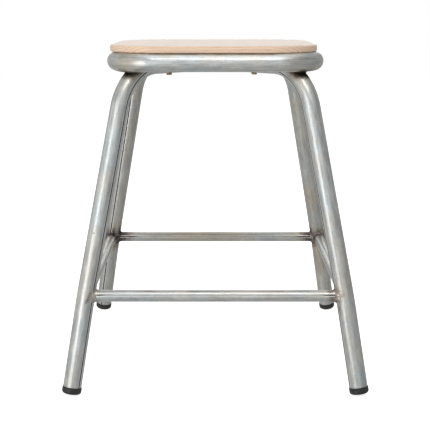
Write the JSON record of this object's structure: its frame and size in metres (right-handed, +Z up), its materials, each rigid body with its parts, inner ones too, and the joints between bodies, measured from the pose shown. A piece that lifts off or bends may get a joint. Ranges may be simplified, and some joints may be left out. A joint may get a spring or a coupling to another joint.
{
  "type": "low stool",
  "caption": "Low stool: four bent round tube legs, four footrest stretchers, a tube seat ring, a thin rounded-square wooden board and rubber foot plugs.",
  "frame": {"origin": "on the floor, under the middle of the stool", "axes": "+Z up, -Y the front, +X to the right seen from the front"},
  "size_m": [0.4182, 0.4182, 0.4667],
  "materials": {
    "wood": "pale hardwood, matt and sealed",
    "tube_steel": "raw drawn tube under a thin clear coat",
    "stretcher_steel": "raw drawn tube with heat tint at the welds",
    "foot_rubber": "matt black moulded rubber",
    "screw_brass": "yellow zinc plated"
  },
  "bodies": {
    "root": {"seat_board": "wood", "seat_ring": "tube_steel", "leg_bow": "tube_steel", "leg_front_left": "tube_steel", "leg_back_right": "tube_steel", "stretcher_front": "stretcher_steel", "stretcher_back": "stretcher_steel", "stretcher_left": "stretcher_steel", "stretcher_right": "stretcher_steel", "foot_plug_front_left": "foot_rubber", "foot_plug_front_right": "foot_rubber", "foot_plug_back_left": "foot_rubber", "foot_plug_back_right": "foot_rubber", "seat_screw_front_left": "screw_brass", "seat_screw_front_right": "screw_brass", "seat_screw_back_left": "screw_brass", "seat_screw_back_right": "screw_brass"}
  },
  "joints": []
}
